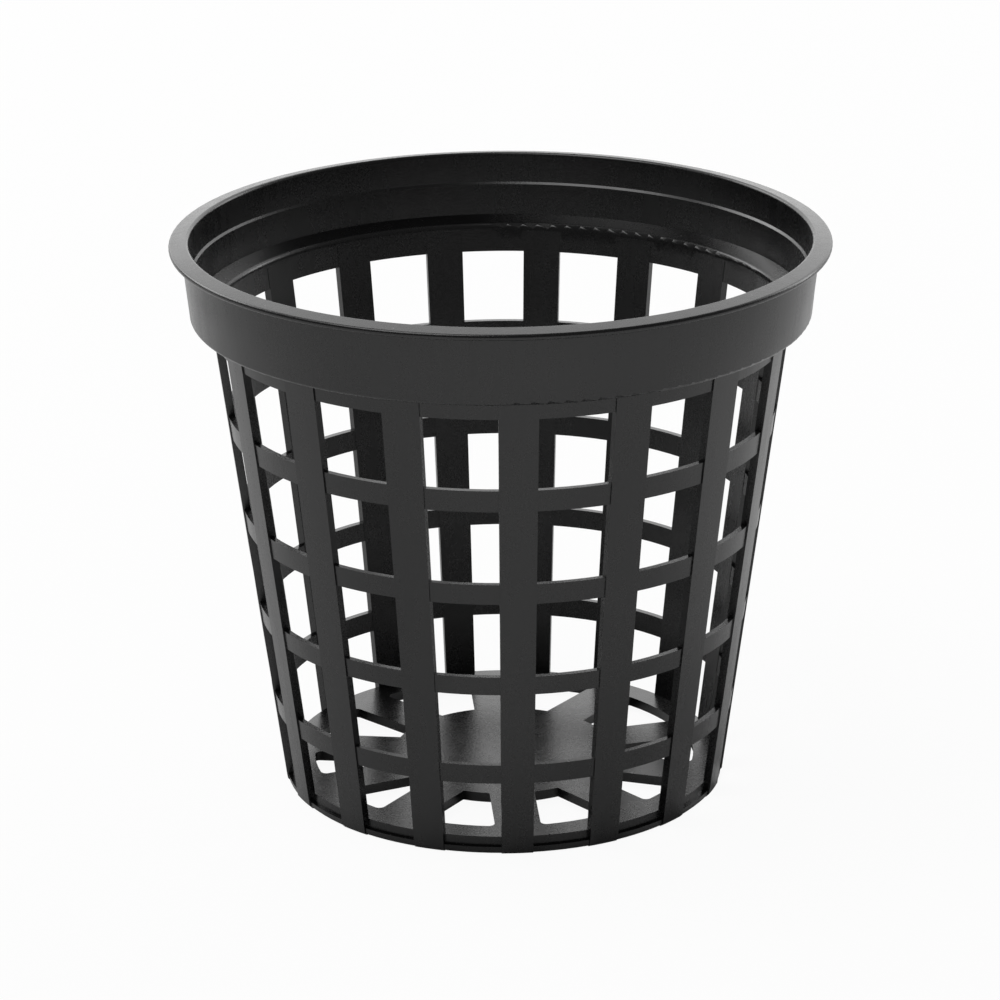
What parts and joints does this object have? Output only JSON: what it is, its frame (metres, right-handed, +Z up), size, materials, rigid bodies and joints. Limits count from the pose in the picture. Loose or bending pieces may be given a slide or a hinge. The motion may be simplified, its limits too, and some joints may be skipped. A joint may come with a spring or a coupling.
{
  "type": "hydroponic net pot",
  "caption": "Round tapered net pot with a lipped collar, slatted side windows and a spoked floor, moulded in one piece to hold a seedling and its growing medium.",
  "frame": {"origin": "on the pot's axis, in the plane of its foot", "axes": "+Z up along the pot's axis to the mouth; -Y is the front, +X to the right of it"},
  "size_m": [0.095, 0.095, 0.0826],
  "materials": {
    "net_pot": "black injection-moulded polypropylene with a satin skin"
  },
  "bodies": {
    "root": {"net_pot": "net_pot"}
  },
  "joints": []
}
